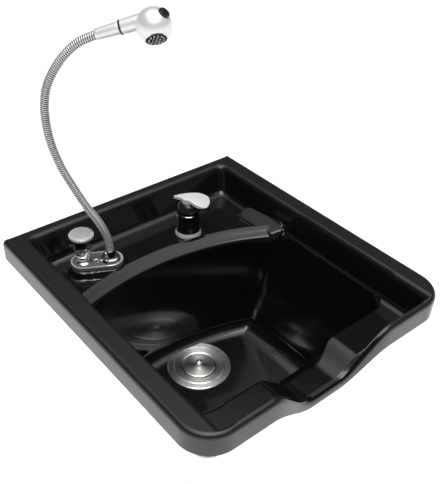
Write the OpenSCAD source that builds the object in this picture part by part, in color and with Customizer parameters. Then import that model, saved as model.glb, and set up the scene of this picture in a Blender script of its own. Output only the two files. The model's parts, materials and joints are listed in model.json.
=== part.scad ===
// Wall-hung salon shampoo bowl with a single-lever mixer, a vacuum breaker,
// a self-standing metal spray hose and a basket strainer drain.
// Frame: origin on the wall plane at the centre of the hanger's bolt pattern.
// +X is to the bowl's left-hand user side, -Y points out to the client, +Z is up.

/* [Bowl] */
// Overall width of the bowl
bowl_w = 480; // [440:520]
// How far the bowl reaches out from the wall
bowl_d = 525; // [480:600]
// Height of the rim's top above the hanger's bolt centre
rim_z = 75; // [60:100]
// Height of the outer skirt
skirt_h = 37; // [25:60]
// Thickness of the moulding
wall_t = 4; // [3:6]
// Plan radius of the outer corners
corner_r = 50; // [30:70]
// Radius along the top outer edge
edge_r = 8; // [4:12]
// Half width of the opening between the side rails
open_half = 205; // [180:225]
// Width of the back rim strip
back_strip = 20; // [12:40]
// Distance from the wall to the opening's front edge
open_front = 462; // [400:500]
// Depth of the basin floor below the rim
basin_depth = 250; // [200:300]
// Depth of the faucet deck below the rim
deck_drop = 50; // [30:80]
// Distance from the wall to the basin's back wall
ridge_y = 153; // [130:200]
// Width of the raised ridge between deck and basin
ridge_w = 28; // [15:40]
// Depth of the neck recess
neck_drop = 63; // [40:100]
// Half width of the neck recess
neck_half = 115; // [80:150]
// Sideways position of the neck recess
neck_x = -8; // [-20:20]

/* [Faucet] */
// Sideways position of the faucet
faucet_x = 57; // [-60:100]
// Distance of the faucet from the wall
faucet_y = 108; // [95:120]
// Radius of the faucet body
body_r = 21; // [16:26]
// Direction of the lever, turned from straight out
lever_turn = 46; // [-50:50]

/* [Vacuum breaker] */
// Sideways position of the vacuum breaker
vb_x = -144; // [-170:-120]
// Distance of the vacuum breaker from the wall
vb_y = 89; // [75:110]
// Spacing from the vacuum breaker to the hose outlet
plate_span = 43; // [40:50]
// Turn of the base plate in plan
plate_turn = -28; // [-45:0]

/* [Hose and spray] */
// Outside radius of the wound metal hose
hose_r = 6.7; // [5:9]
// Direction in which the hose arch leans, from +X
arch_turn = -40.5; // [-90:90]
// Radius of the ball-shaped spray head
ball_r = 24.5; // [20:32]
// Rise of the spray handle's axis
handle_rise = 18; // [0:40]
// Turn of the spray head about its handle
head_turn = -58; // [-60:60]

/* [Drain] */
// Outside radius of the drain flange
flange_r = 57; // [50:60]
// Sideways position of the drain
drain_x = -8; // [-20:20]
// Distance of the drain from the wall
drain_y = 226; // [210:300]
// Outside radius of the waste tailpiece
tail_r = 19.05; // [15:25]

/* [Hanger] */
// Width of the wall bracket
hanger_w = 300; // [200:400]
// Sideways spacing of the wall bolts
bolt_dx = 240; // [150:350]
// Upright spacing of the wall bolts
bolt_dz = 36; // [20:60]
// Radius of the wall bolt holes
bolt_r = 4.5; // [3:6]

/* [Hidden] */
eps = 0.01;
back_gap = 1;
slab_d = bowl_d - back_gap;
front_y = -bowl_d;
hull_fn = 32;
floor_r = 26;
floor_lift = floor_r * (1 - cos(180 / hull_fn)) + 0.03;
basin_back = 40;
side_in = 66;
front_in = 55;
wall_lean = 0.29;
front_lean = 0.242;
deck_in = deck_drop * wall_lean;
deck_slope = 22;
arc_r = 450;
arc_x = -45;
arc_y = -(ridge_y + arc_r);
deck_z = rim_z - deck_drop;
floor_z = rim_z - basin_depth;
ridge_h = 8;
pad_h = 12;
neck_flat = 26;
neck_in = 30;
neck_steps = 16;
edge_lap = 2;
plate_r = 21;
plate_t = 4;
pad_z = deck_z + pad_h;
vb_split = 34.5;
vb_seat = 24.5;
pivot_z = 49;
dome_r = 18.3;
hub_r = 21.5;
hub_in = 19;
body_h = 47;
leaf_z = 77.5;
leaf_t = 4.5;
leaf_crown = 100;
hub_relief = 6;
grub_x = 4.05;
grub_z = 62.7;
grub_l = 11.6;
leaf_x = -7;
leaf_c = 22;
leaf_r = 21;
leaf_flare = 30;
leaf_back = -25;
spot_turn = 48;
spot_tilt = 47;
screw_x = 20;
steel_t = 3;
hose_sides = 10;
hose_rings = 44;
// The hose's route in its own upright plane: reach from the outlet, height over the rim.
hose_path = [[0, -21.5], [0, -4], [-4, 17], [-13, 39], [-26, 61], [-38.5, 84], [-50, 108],
  [-61, 132.5], [-69.5, 158], [-75.5, 184.5], [-78, 212], [-77, 240], [-71, 267.5],
  [-58.5, 292.5], [-41.5, 315.5], [-20, 334.5], [6, 346.7]];
handle_at = [6, 0, 346.7];
ball_at = [79.5, 0, -13];
button_tilt = 53;
button_turn = 19;
button_r = 8;
nozzle_r = 13.5;
nozzle_turn = 12;
jet_r = 0.9;
screw_r = 2.1;
shank_r = 16;
pipe_r = 4;
inlet_r = 5;
inlet_x = 24;
inlet_end = -98;
thread_r = 10.48;
thread_l = 13;
under_z = -62;
port_x = 4.5;
mix_port = 7;
bend_r = 14;
cup_r = 46.5;
cup_d = 46;
tail_end = -190;
tail_l = 127;
set_x = 90;

function lerp(a, b, t) = a + (b - a) * t;
function smooth(t) = t * t * (3 - 2 * t);
function clamp01(t) = min(1, max(0, t));
// Share of the neck recess's full depth at a sideways position.
function dip(x) = smooth(clamp01((neck_half - abs(x)) / (neck_half - neck_flat)));

module at_rim() {
  translate([0, 0, rim_z])
    children();
}

module round_rect(w, y0, y1, r) {
  for (s = [-1, 1])
    translate([s * (w / 2 - r), y0 + r])
      circle(r = r, $fn = 96);
  for (s = [-1, 1])
    translate([s * (w / 2 - r), y1 - r])
      circle(r = r, $fn = 96);
  translate([-w / 2 + r, y0])
    square([w - 2 * r, y1 - y0]);
  translate([-w / 2, y0 + r])
    square([w, y1 - y0 - 2 * r]);
}

// Back corners of the rim stay square, front corners are round.
module rim_plan(inset, back_inset) {
  w = bowl_w - 2 * inset;
  r = corner_r - inset;
  y0 = front_y + inset;
  y1 = -back_gap - back_inset;
  for (s = [-1, 1])
    translate([s * (w / 2 - r), y0 + r])
      circle(r = r, $fn = 128);
  translate([-w / 2 + r, y0])
    square([w - 2 * r, r + 1]);
  translate([-w / 2, y0 + r])
    square([w, y1 - y0 - r]);
}

// Quarter-round strip that rounds the rim's top outer edge.
module edge_profile() {
  translate([-edge_r, -edge_r]) {
    intersection() {
      circle(r = edge_r, $fn = 64);
      square(edge_r);
    }
    translate([-edge_lap, 0])
      square([edge_lap, edge_r]);
  }
}

module rim_edge() {
  run = slab_d - corner_r;
  for (s = [-1, 1])
    mirror([s < 0 ? 1 : 0, 0, 0]) {
      translate([bowl_w / 2, -back_gap, 0])
        rotate([90, 0, 0])
          linear_extrude(run)
            edge_profile();
      translate([bowl_w / 2 - corner_r, front_y + corner_r, 0])
        rotate([0, 0, -90])
          rotate_extrude(angle = 90, $fn = 128)
            translate([corner_r, 0])
              edge_profile();
    }
  translate([-bowl_w / 2 + corner_r, front_y, 0])
    rotate([90, 0, 90])
      linear_extrude(bowl_w - 2 * corner_r)
        mirror([1, 0])
          edge_profile();
}

module rim_frame() {
  difference() {
    union() {
      translate([0, 0, -skirt_h])
        linear_extrude(skirt_h - edge_r)
          rim_plan(0, 0);
      translate([0, 0, -edge_r - edge_lap])
        linear_extrude(edge_r + edge_lap)
          rim_plan(edge_r, 0);
      rim_edge();
    }
    translate([0, 0, -skirt_h - 1])
      linear_extrude(skirt_h + 1 - wall_t)
        rim_plan(wall_t, wall_t);
    translate([0, 0, -skirt_h - 1])
      linear_extrude(skirt_h + 2)
        round_rect(2 * open_half, -open_front, -back_strip, 28);
    neck_clearance();
  }
}

// The stretch of straight front rim that the swept neck piece takes the place of.
module neck_clearance() {
  translate([neck_x - neck_half, front_y - 1, -skirt_h - 1])
    cube([2 * neck_half, bowl_d - open_front + 30, skirt_h + 2]);
}

// Tapered tub: round_rect at the top and a pillow with round edges at the floor.
module tub(t) {
  hull() {
    for (s = [-1, 1])
      for (y = [-ridge_y + basin_back + 30 + t, -open_front - t])
        translate([s * (open_half + t - 30), y < -300 ? y + 30 : y - 30, t > 0 ? -6 : 0])
          cylinder(r = 30, h = t > 0 ? 4 : 6, $fn = hull_fn);
    for (s = [-1, 1])
      for (y = [-ridge_y + basin_back, -open_front + front_in + floor_r])
        translate([s * (open_half - side_in - floor_r), y, -basin_depth + floor_r])
          sphere(r = floor_r + t, $fn = hull_fn);
  }
}

module arc_keep(t) {
  translate([arc_x, arc_y, -basin_depth - 60])
    cylinder(r = arc_r + t, h = basin_depth + 120, $fn = 360);
}

module deck_pan(t) {
  hull() {
    for (s = [-1, 1])
      for (y = [-back_strip - 12, -ridge_y - 60])
        translate([s * (open_half + t - 12), y + (y > -100 ? t : 0), -8])
          cylinder(r = 12, h = t > 0 ? 4 : 8, $fn = hull_fn);
    for (s = [-1, 1])
      for (y = [-back_strip - deck_slope - 12, -ridge_y - 60])
        translate([s * (open_half + t - deck_in - 12), y + (y > -100 ? t : 0), -deck_drop - t])
          cylinder(r = 12, h = 4, $fn = hull_fn);
  }
}

module ridge() {
  translate([0, 0, -deck_drop - eps])
    linear_extrude(ridge_h)
      difference() {
        intersection() {
          translate([arc_x, arc_y])
            circle(r = arc_r + ridge_w, $fn = 360);
          translate([-open_half + deck_in - 2, -ridge_y - 60])
            square([2 * (open_half - deck_in + 2), 100]);
        }
        translate([arc_x, arc_y])
          circle(r = arc_r, $fn = 360);
      }
  ledge_w = 30;
  ledge_back = 116;
  translate([open_half - deck_in - ledge_w, -ridge_y - 20, -deck_drop - eps])
    cube([ledge_w + deck_in, ridge_y + 20 - ledge_back, ridge_h]);
  translate([open_half - deck_in - ledge_w / 2, -ledge_back, -deck_drop - eps])
    cylinder(r = ledge_w / 2, h = ridge_h, $fn = 64);
}

module fit_pad() {
  translate([vb_x, -vb_y, -deck_drop - eps])
    rotate([0, 0, plate_turn])
      linear_extrude(pad_h)
        obround(plate_r + 7);
}

// Front wall of the basin at a height below the rim.
function wall_y(z) = -open_front - front_lean * z;
function neck_foot(s) = -neck_in - 140 * s;
function bezier(a, b, c, d, t) =
  a * pow(1 - t, 3) + 3 * b * t * pow(1 - t, 2) + 3 * c * t * t * (1 - t) + d * pow(t, 3);

// One upright section of the neck recess, from the basin wall over the lip to the skirt's foot.
function lip_outer(x) =
  let(s = dip(x), top = -neck_drop * s, yf = front_y + 10 * s, foot = -skirt_h - 41 * s,
      w = [wall_y(neck_foot(s)), neck_foot(s)], k = [-open_front - 12 - 20 * s, top],
      up = (top - w[1]) * 0.4, over = (w[0] - k[0]) * 0.25)
  concat([for (t = [0:0.2:1]) bezier(w, w + up * [-front_lean, 1], k + [over, 0], k, t)],
         [for (a = [0:22.5:90]) [yf + edge_r - edge_r * sin(a), top - edge_r + edge_r * cos(a)]],
         [[yf, foot]]);

function lip_inner(x) =
  let(p = lip_outer(x), n = len(p))
  [for (i = [0:n - 1])
    let(a = p[max(0, i - 1)], b = p[min(n - 1, i + 1)], d = (b - a) / norm(b - a))
    i == n - 1 ? [p[i][0] + wall_t, p[i][1]] : i == 0 ? [p[i][0] - wall_t, p[i][1]]
      : p[i] + wall_t * [-d[1], d[0]]];

module neck_piece() {
  xs = [for (i = [0:2 * neck_steps]) neck_half * (i - neck_steps) / neck_steps];
  rings = [for (x = xs)
    let(o = lip_outer(x), q = lip_inner(x), n = len(o))
    concat([for (p = o) [x, p[0], p[1]]], [for (i = [n - 1:-1:0]) [x, q[i][0], q[i][1]]])];
  m = len(rings[0]);
  pts = [for (r = rings) for (p = r) p];
  sides = [for (i = [0:len(rings) - 2]) for (j = [0:m - 1])
    let(a = i * m + j, b = i * m + (j + 1) % m)
    each [[a, b + m, b], [a, a + m, b + m]]];
  half = m / 2;
  cap = [for (j = [0:half - 2]) each [[j, j + 1, m - 1 - j], [j + 1, m - 2 - j, m - 1 - j]]];
  last = (len(rings) - 1) * m;
  end = [for (f = cap) [f[2] + last, f[1] + last, f[0] + last]];
  polyhedron(points = pts, faces = concat(sides, cap, end), convexity = 8);
}

// Takes the basin's front wall down to the foot of the neck piece.
module neck_window() {
  xs = [for (i = [-neck_steps:neck_steps]) neck_half * i / neck_steps];
  translate([neck_x, -open_front + 60, 0])
    rotate([90, 0, 0])
      linear_extrude(140)
        polygon(concat([for (x = xs) [x, neck_foot(dip(x)) - 2 * dip(x)]],
                       [[neck_half, 10], [-neck_half, 10]]));
}

// Bolt, pipe and drain holes through the deck and the basin floor.
module drillings() {
  at_faucet()
    translate([0, 0, -20])
      cylinder(r = shank_r + 1.5, h = 40, $fn = 96);
  at_vb()
    translate([0, 0, -pad_h - 20])
      cylinder(r = 10.5, h = 60, $fn = 64);
  at_outlet()
    translate([0, 0, -pad_h - 20])
      cylinder(r = 9, h = 60, $fn = 64);
  at_vb()
    translate([screw_x, 0, -pad_h + 2])
      cylinder(r = screw_r + 0.1, h = 40, $fn = 48);
  at_drain()
    translate([0, 0, -20])
      cylinder(r = cup_r + 1.5, h = 40, $fn = 128);
}

module basin_shell() {
  difference() {
    union() {
      intersection() {
        tub(wall_t);
        arc_keep(wall_t);
      }
      deck_pan(wall_t);
    }
    intersection() {
      tub(0);
      arc_keep(0);
    }
    deck_pan(0);
    neck_window();
  }
}

module bowl() {
  color("#1c1c1e")
    difference() {
      at_rim() {
        rim_frame();
        basin_shell();
        translate([neck_x, 0, 0])
          neck_piece();
        intersection() {
          union() {
            ridge();
            fit_pad();
          }
          deck_pan(wall_t / 2);
        }
      }
      drillings();
    }
}

module ring(ro, ri, z0, z1, fn = 96) {
  translate([0, 0, z0])
    difference() {
      cylinder(r = ro, h = z1 - z0, $fn = fn);
      translate([0, 0, -1])
        cylinder(r = ri, h = z1 - z0 + 2, $fn = 96);
    }
}

module turned(points, fn = 96) {
  rotate_extrude($fn = fn)
    polygon(points);
}

module rod(a, b, r) {
  d = b - a;
  translate(a)
    rotate([0, acos(d[2] / norm(d)), atan2(d[1], d[0])])
      cylinder(r = r, h = norm(d), $fn = 48);
}

// ---- Hanger ----
module wall_bracket() {
  color("#b9bcc0")
    difference() {
      translate([-hanger_w / 2, 0, 0])
        rotate([90, 0, 90])
          linear_extrude(hanger_w)
            polygon([[0, -bolt_dz / 2 - 14], [-steel_t, -bolt_dz / 2 - 14],
                     [-steel_t, rim_z - skirt_h - steel_t], [-12, rim_z - skirt_h - steel_t],
                     [-12, rim_z - skirt_h + 18], [-9, rim_z - skirt_h + 18],
                     [-9, rim_z - skirt_h], [0, rim_z - skirt_h]]);
      for (x = [-1, 1])
        for (z = [-1, 1])
          translate([x * bolt_dx / 2, 1, z * bolt_dz / 2])
            rotate([90, 0, 0])
              cylinder(r = bolt_r, h = steel_t + 2, $fn = 64);
      for (x = [-1, 1])
        translate([x * set_x, -8, rim_z - skirt_h + 9])
          rotate([90, 0, 0])
            cylinder(r = 3.05, h = 5, $fn = 48);
    }
}

module bracket_set_screws() {
  color("#9a9da1")
    for (x = [-1, 1])
      translate([x * set_x, -back_gap - wall_t - 0.2, rim_z - skirt_h + 9])
        rotate([90, 0, 0]) {
          cylinder(r = 3, h = 16, $fn = 48);
          translate([0, 0, 12])
            cylinder(r = 5.5, h = 4, $fn = 6);
        }
}

// ---- Faucet ----
module at_faucet() {
  translate([faucet_x, -faucet_y, deck_z])
    children();
}

module faucet_gasket() {
  color("#202020")
    at_faucet()
      ring(24.8, shank_r + 0.3, 0, 2);
}

module faucet_base_ring() {
  color("#d8dadd")
    at_faucet()
      turned([[body_r + 0.2, 2], [23.4, 2], [23.4, 4], [22.8, 6], [21.8, 8.6],
              [body_r + 0.2, 10]]);
}

module faucet_body() {
  color("#d8dadd")
    at_faucet()
      difference() {
        turned([[0, -42], [shank_r, -42], [shank_r, 2], [body_r, 2], [body_r, body_h - 1],
                [body_r - 1, body_h], [0, body_h]]);
        translate([0, 0, 16])
          cylinder(r = 17.2, h = 40, $fn = 96);
        translate([0, 0, -43])
          cylinder(r = 13.5, h = 45, $fn = 96);
        for (s = [-1, 1])
          translate([s * 6.5, -5, 0])
            cylinder(r = inlet_r + 0.1, h = 8, $fn = 48);
        for (s = [-1, 1])
          translate([s * 6.5, -5, 0])
            cylinder(r = 2.5, h = 20, $fn = 48);
        translate([0, mix_port, 0])
          cylinder(r = pipe_r + 0.1, h = 8, $fn = 48);
        translate([0, mix_port, 0])
          cylinder(r = 2.5, h = 20, $fn = 48);
      }
}

module faucet_cartridge() {
  color("#e8e6df")
    at_faucet()
      difference() {
        translate([0, 0, 16])
          cylinder(r = 17, h = 29, $fn = 96);
        translate([0, 0, 30])
          cylinder(r = 11.05, h = 20, $fn = 96);
        for (p = [[-6.5, -5], [6.5, -5], [0, mix_port]])
          translate([p[0], p[1], 15])
            cylinder(r = 2.5, h = 20, $fn = 48);
      }
}

// The lever's own frame: +X towards its tip.
module at_lever() {
  at_faucet()
    rotate([0, 0, lever_turn - 90])
      children();
}

module cartridge_yoke() {
  color("#c9a24a")
    at_lever()
      difference() {
        union() {
          translate([0, 0, 30.2])
            cylinder(r = 11, h = 13, $fn = 96);
          translate([-6, -7.5, 43])
            cube([12, 15, 9]);
        }
        translate([-12, -3.6, 36])
          cube([24, 7.2, 20]);
        translate([0, 10, pivot_z])
          rotate([90, 0, 0])
            cylinder(r = 1.55, h = 20, $fn = 48);
      }
}

module cartridge_pin() {
  color("#aeb1b5")
    at_lever()
      translate([0, 7.4, pivot_z])
        rotate([90, 0, 0])
          cylinder(r = 1.5, h = 14.8, $fn = 48);
}

module faucet_bonnet() {
  color("#d8dadd")
    at_faucet()
      difference() {
        union() {
          translate([0, 0, body_h])
            cylinder(r = 18.6, h = 1.5, $fn = 96);
          intersection() {
            translate([0, 0, pivot_z])
              sphere(r = dome_r, $fn = 96);
            translate([0, 0, body_h + 0.5])
              cylinder(r = 25, h = 13, $fn = 96);
          }
        }
        translate([0, 0, 30])
          cylinder(r = 12.5, h = 26, $fn = 96);
        translate([0, 0, 50])
          cylinder(r = 10.5, h = 20, $fn = 96);
      }
}

module lever_stem() {
  color("#aeb1b5")
    at_lever()
      difference() {
        union() {
          translate([-4, -3.5, 46])
            cube([8, 7, 17]);
          translate([0, 3.5, pivot_z])
            rotate([90, 0, 0])
              cylinder(r = 4, h = 7, $fn = 64);
        }
        translate([0, 10, pivot_z])
          rotate([90, 0, 0])
            cylinder(r = 1.57, h = 20, $fn = 48);
      }
}

// Plan outline of the leaf: pointed at the back, round and wide at the tip.
module leaf_plan() {
  hull_y = leaf_r * cos(leaf_flare);
  hull_x = leaf_c - leaf_r * sin(leaf_flare);
  translate([leaf_c, 0])
    circle(r = leaf_r, $fn = 128);
  polygon([[hull_x, -hull_y], [hull_x, hull_y], [6, 15], [-8, 8.5], [leaf_back, 1],
           [leaf_back, -1], [-8, -8.5], [6, -15]]);
}

// Hub and leaf before the inside is hollowed for the bonnet's dome.
module lever_blank() {
  difference() {
    translate([0, 0, pivot_z])
      sphere(r = hub_r, $fn = 128);
    translate([hub_r, 0, pivot_z + 1])
      rotate([0, hub_relief, 0])
        translate([-3 * hub_r, -2 * hub_r, -40])
          cube([6 * hub_r, 4 * hub_r, 40]);
  }
  intersection() {
    union() {
      translate([0, 0, 62])
        cylinder(r = 12.5, h = 14, $fn = 96);
      difference() {
        translate([0, 0, 55])
          linear_extrude(30)
            leaf_plan();
        translate([leaf_x, 0, leaf_z - leaf_crown])
          sphere(r = leaf_crown - leaf_t, $fn = 200);
      }
    }
    translate([leaf_x, 0, leaf_z - leaf_crown])
      sphere(r = leaf_crown, $fn = 200);
  }
}

module lever() {
  color("#d8dadd")
    at_lever()
      difference() {
        lever_blank();
        translate([0, 0, pivot_z])
          sphere(r = hub_in, $fn = 96);
        translate([-4.1, -3.6, 50])
          cube([8.2, 7.2, 13.2]);
        translate([grub_x + 1, 0, grub_z])
          rotate([0, 90, 0])
            cylinder(r = 2.1, h = 20, $fn = 48);
        for (s = [-1, 1])
          at_indicator(s)
            cylinder(r = 2.6, h = 5, $fn = 48);
      }
}

// Frame on the hub's surface, beside the lever's centre line.
module at_indicator(s) {
  translate([0, 0, pivot_z])
    rotate([0, 0, s * spot_turn])
      rotate([0, spot_tilt, 0])
        translate([0, 0, hub_r - 1.5])
          children();
}

module lever_grub_screw() {
  color("#6b6e72")
    at_lever()
      translate([grub_x, 0, grub_z])
        rotate([0, 90, 0])
          cylinder(r = 2, h = grub_l, $fn = 48);
}

module indicator_hot() {
  color("#c41f26")
    at_lever()
      at_indicator(-1)
        cylinder(r = 2.5, h = 1.7, $fn = 48);
}

module indicator_cold() {
  color("#2456b8")
    at_lever()
      at_indicator(1)
        cylinder(r = 2.5, h = 1.7, $fn = 48);
}

module faucet_washer() {
  color("#202020")
    at_faucet()
      ring(26, shank_r + 0.3, -wall_t - 3, -wall_t);
}

module hex_nut(across_r, bore_r, z0, z1) {
  translate([0, 0, z0])
    difference() {
      cylinder(r = across_r, h = z1 - z0, $fn = 6);
      translate([0, 0, -1])
        cylinder(r = bore_r, h = z1 - z0 + 2, $fn = 96);
    }
}

module faucet_nut() {
  color("#c9a24a")
    at_faucet()
      hex_nut(25, shank_r + 0.1, -wall_t - 13, -wall_t - 3);
}

module inlet_run(s, r) {
  a = [s * 6.5, -5, 7.5];
  b = [s * 6.5, -5, -48];
  c = [s * inlet_x, -5, -78];
  d = [s * inlet_x, -5, inlet_end];
  rod(b, a, r);
  rod(c, b, r);
  rod(d, c, r);
  translate(b)
    sphere(r = r + 0.8, $fn = 48);
  translate(c)
    sphere(r = r + 0.8, $fn = 48);
  translate([d[0], d[1], inlet_end - 6])
    cylinder(r = 13, h = 7, $fn = 6);
  translate([d[0], d[1], inlet_end - 6 - thread_l])
    cylinder(r = thread_r, h = thread_l + 1, $fn = 96);
}

module supply_inlets() {
  color("#b87a4b")
    at_faucet()
      for (s = [-1, 1])
        difference() {
          inlet_run(s, inlet_r);
          translate([s * inlet_x, -5, inlet_end - 20])
            cylinder(r = 6, h = 16, $fn = 64);
        }
}

// Carries the mixed water under the deck from the faucet to the vacuum breaker.
module transfer_pipe() {
  dx = vb_x - port_x * cos(plate_turn) - faucet_x;
  dy = faucet_y - mix_port - vb_y - port_x * sin(plate_turn);
  run = norm([dx, dy]);
  top_end = pad_h - 34 + 5.8;
  color("#b87a4b")
    translate([faucet_x, -faucet_y + mix_port, deck_z])
      rotate([0, 0, atan2(dy, dx)]) {
        rod([0, 0, under_z + bend_r], [0, 0, 7.5], pipe_r);
        rod([run, 0, under_z + bend_r], [run, 0, top_end], pipe_r);
        rod([bend_r, 0, under_z], [run - bend_r, 0, under_z], pipe_r);
        translate([bend_r, 0, under_z + bend_r])
          rotate([90, 0, 0])
            rotate([0, 0, 180])
              rotate_extrude(angle = 90, $fn = 96)
                translate([bend_r, 0])
                  circle(r = pipe_r, $fn = 48);
        translate([run - bend_r, 0, under_z + bend_r])
          rotate([90, 0, 0])
            rotate([0, 0, -90])
              rotate_extrude(angle = 90, $fn = 96)
                translate([bend_r, 0])
                  circle(r = pipe_r, $fn = 48);
      }
}

// ---- Vacuum breaker and hose outlet ----
module at_vb() {
  translate([vb_x, -vb_y, pad_z])
    rotate([0, 0, plate_turn])
      children();
}

module obround(r) {
  circle(r = r, $fn = 128);
  translate([plate_span, 0])
    circle(r = r, $fn = 128);
  translate([0, -r])
    square([plate_span, 2 * r]);
}

module plate_holes(grow) {
  circle(r = 10.2 + grow, $fn = 96);
  translate([plate_span, 0])
    circle(r = 8.2 + grow, $fn = 96);
  translate([screw_x, 0])
    circle(r = screw_r + 0.1 + grow, $fn = 48);
}

module vb_gasket() {
  color("#202020")
    at_vb()
      linear_extrude(1.5)
        difference() {
          obround(plate_r + 1);
          plate_holes(0.3);
        }
}

module vb_base_plate() {
  color("#d8dadd")
    at_vb() {
      translate([0, 0, 1.5])
        linear_extrude(plate_t)
          difference() {
            obround(plate_r);
            plate_holes(0);
          }
      translate([0, 0, 1.5 + plate_t - eps])
        linear_extrude(1.6)
          difference() {
            obround(plate_r);
            obround(plate_r - 2.2);
          }
    }
}

module vb_body() {
  color("#d8dadd")
    at_vb()
      difference() {
        turned([[0, -34], [10, -34], [10, 5.5], [13, 5.5], [13, 7.5], [10.5, 9.5],
                [10.5, 17], [11.5, 19], [14.6, 33], [14.6, vb_split], [0, vb_split]]);
        translate([0, 0, vb_seat])
          cylinder(r = 11, h = 20, $fn = 96);
        translate([0, 0, 8])
          cylinder(r = 6, h = 20, $fn = 96);
        for (x = [-port_x, port_x])
          translate([x, 0, -36])
            cylinder(r = pipe_r + 0.1, h = 8, $fn = 48);
        for (x = [-port_x, port_x])
          translate([x, 0, -36])
            cylinder(r = 2.5, h = 50, $fn = 48);
      }
}

module vb_seat_seal() {
  color("#202020")
    at_vb()
      ring(10.8, 6.5, vb_seat, vb_seat + 2);
}

module vb_float() {
  color("#e8e6df")
    at_vb()
      translate([0, 0, vb_seat + 2.1])
        turned([[0, 0], [9.5, 0], [9.5, 2.4], [3, 2.4], [3, 20.4], [0, 20.4]]);
}

module vb_bonnet() {
  color("#26272a")
    at_vb()
      difference() {
        turned([[0, vb_split], [12.5, vb_split], [11.5, vb_split + 3], [11.5, 56], [0, 56]]);
        difference() {
          translate([0, 0, vb_split - 1])
            cylinder(r = 10, h = 17, $fn = 96);
          translate([0, 0, vb_split + 8])
            cylinder(r = 5, h = 20, $fn = 64);
        }
        translate([0, 0, vb_split - 1])
          cylinder(r = 3.06, h = 19, $fn = 64);
        for (a = [0:60:300])
          rotate([0, 0, a + 30])
            translate([6, 0, vb_split + 11.5])
              rotate([0, 90, 0])
                cylinder(r = 2.2, h = 10, $fn = 32);
      }
}

module vb_cap() {
  color("#d8dadd")
    at_vb()
      turned([[0, 56], [19, 56], [20, 57], [20, 60], [19, 61.2], [14, 61.9],
              [0, 62.4]]);
}

module vb_nuts() {
  color("#c9a24a")
    at_vb() {
      hex_nut(17, 10.1, -pad_h - wall_t - 9, -pad_h - wall_t);
      translate([plate_span, 0, 0])
        hex_nut(14, 8.1, -pad_h - wall_t - 9, -pad_h - wall_t);
    }
}

module plate_screw() {
  color("#d8dadd")
    at_vb()
      translate([screw_x, 0, 0])
        turned([[0, -9], [screw_r, -9], [screw_r, 5.5], [4.2, 5.5], [4.2, 7], [3.2, 8.8],
                [0, 9.6]], 64);
}

module at_outlet() {
  at_vb()
    translate([plate_span, 0, 0])
      children();
}

module hose_outlet() {
  color("#d8dadd")
    at_outlet()
      difference() {
        turned([[0, -34], [8, -34], [8, 8], [6, 8], [6, 15], [0, 15]]);
        translate([0, 0, -40])
          cylinder(r = pipe_r + 0.1, h = 12, $fn = 48);
        translate([0, 0, -40])
          cylinder(r = 3, h = 60, $fn = 48);
      }
}

module hose_collar() {
  color("#d8dadd")
    at_outlet()
      turned([[8.3, 5.5], [17.2, 5.5], [17.2, 8], [15.5, 11.5], [13, 12.5], [11.5, 12.5],
              [11.5, 7.5], [8.3, 7.5]]);
}

// U-bend from the vacuum breaker's outlet port to the hose outlet.
module bridge_pipe() {
  span = plate_span - port_x;
  color("#b87a4b")
    at_vb()
      translate([port_x + span / 2, 0, -34]) {
        rotate([90, 0, 0])
          for (a = [180, 270])
            rotate([0, 0, a])
              rotate_extrude(angle = 90, $fn = 96)
                translate([span / 2, 0])
                  circle(r = pipe_r, $fn = 48);
        for (s = [-1, 1])
          translate([s * span / 2, 0, -eps])
            cylinder(r = pipe_r, h = 5.5, $fn = 48);
      }
}

module hose_socket() {
  color("#d8dadd")
    at_outlet()
      difference() {
        turned([[0, 8.3], [11, 8.3], [11, 12], [9.5, 14], [8.6, 24], [8.2, 25], [0, 25]]);
        translate([0, 0, 7])
          cylinder(r = 6.06, h = 8.4, $fn = 96);
        translate([0, 0, 16.2])
          cylinder(r = hose_r - 0.02, h = 20, $fn = 96);
      }
}

// ---- Hose: a tube swept along hose_path ----
function spline(p, i, t) =
  let(n = len(p), a = p[max(0, i - 1)], b = p[i], c = p[min(n - 1, i + 1)],
      d = p[min(n - 1, i + 2)])
  0.5 * (2 * b + (c - a) * t + (2 * a - 5 * b + 4 * c - d) * t * t
         + (3 * b - a - 3 * c + d) * t * t * t);
function along(p, u) =
  let(n = len(p) - 1, i = min(n - 1, floor(u * n)))
  spline(p, i, u * n - i);
function heading(p, u) =
  let(a = along(p, max(0, u - 0.004)), b = along(p, min(1, u + 0.004)))
  (b - a) / norm(b - a);

module hose() {
  rings = [for (i = [0:hose_rings])
    let(u = i / hose_rings, c = along(hose_path, u), d = heading(hose_path, u))
    [for (j = [0:hose_sides - 1])
      let(a = 360 * j / hose_sides)
      [c[0] - d[1] * hose_r * cos(a), hose_r * sin(a), c[1] + d[0] * hose_r * cos(a)]]];
  m = hose_sides;
  pts = [for (r = rings) for (p = r) p];
  sides = [for (i = [0:hose_rings - 1]) for (j = [0:m - 1])
    let(a = i * m + j, b = i * m + (j + 1) % m)
    each [[a, b, b + m], [a, b + m, a + m]]];
  start = [for (j = [m - 1:-1:0]) j];
  end = [for (j = [0:m - 1]) hose_rings * m + j];
  color("#c9ccd0")
    at_arch()
      polyhedron(points = pts, faces = concat(sides, [start, end]), convexity = 10);
}

module at_arch() {
  translate([vb_x + plate_span * cos(plate_turn), plate_span * sin(plate_turn) - vb_y, rim_z])
    rotate([0, 0, arch_turn])
      children();
}

// ---- Spray head: +X runs along the handle ----
module at_handle() {
  at_arch()
    translate(handle_at)
      rotate([0, -handle_rise, 0])
        children();
}

module lathe_x(points, fn = 96) {
  rotate([0, 90, 0])
    turned([for (p = points) [p[1], p[0]]], fn);
}

module hose_ferrule() {
  color("#d8dadd")
    at_handle()
      lathe_x([[-2, 0], [-2, 7.4], [1, 7.8], [30, 8.9], [32, 8.4], [32, 5], [41, 5], [41, 0]]);
}

// The outline of the handle's last stretch, where it runs into the ball.
function sleeve_end(grow) = [[58, 10.8 + grow], [66, 10.8 + grow], [71.5, 8.6 + grow]];

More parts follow.
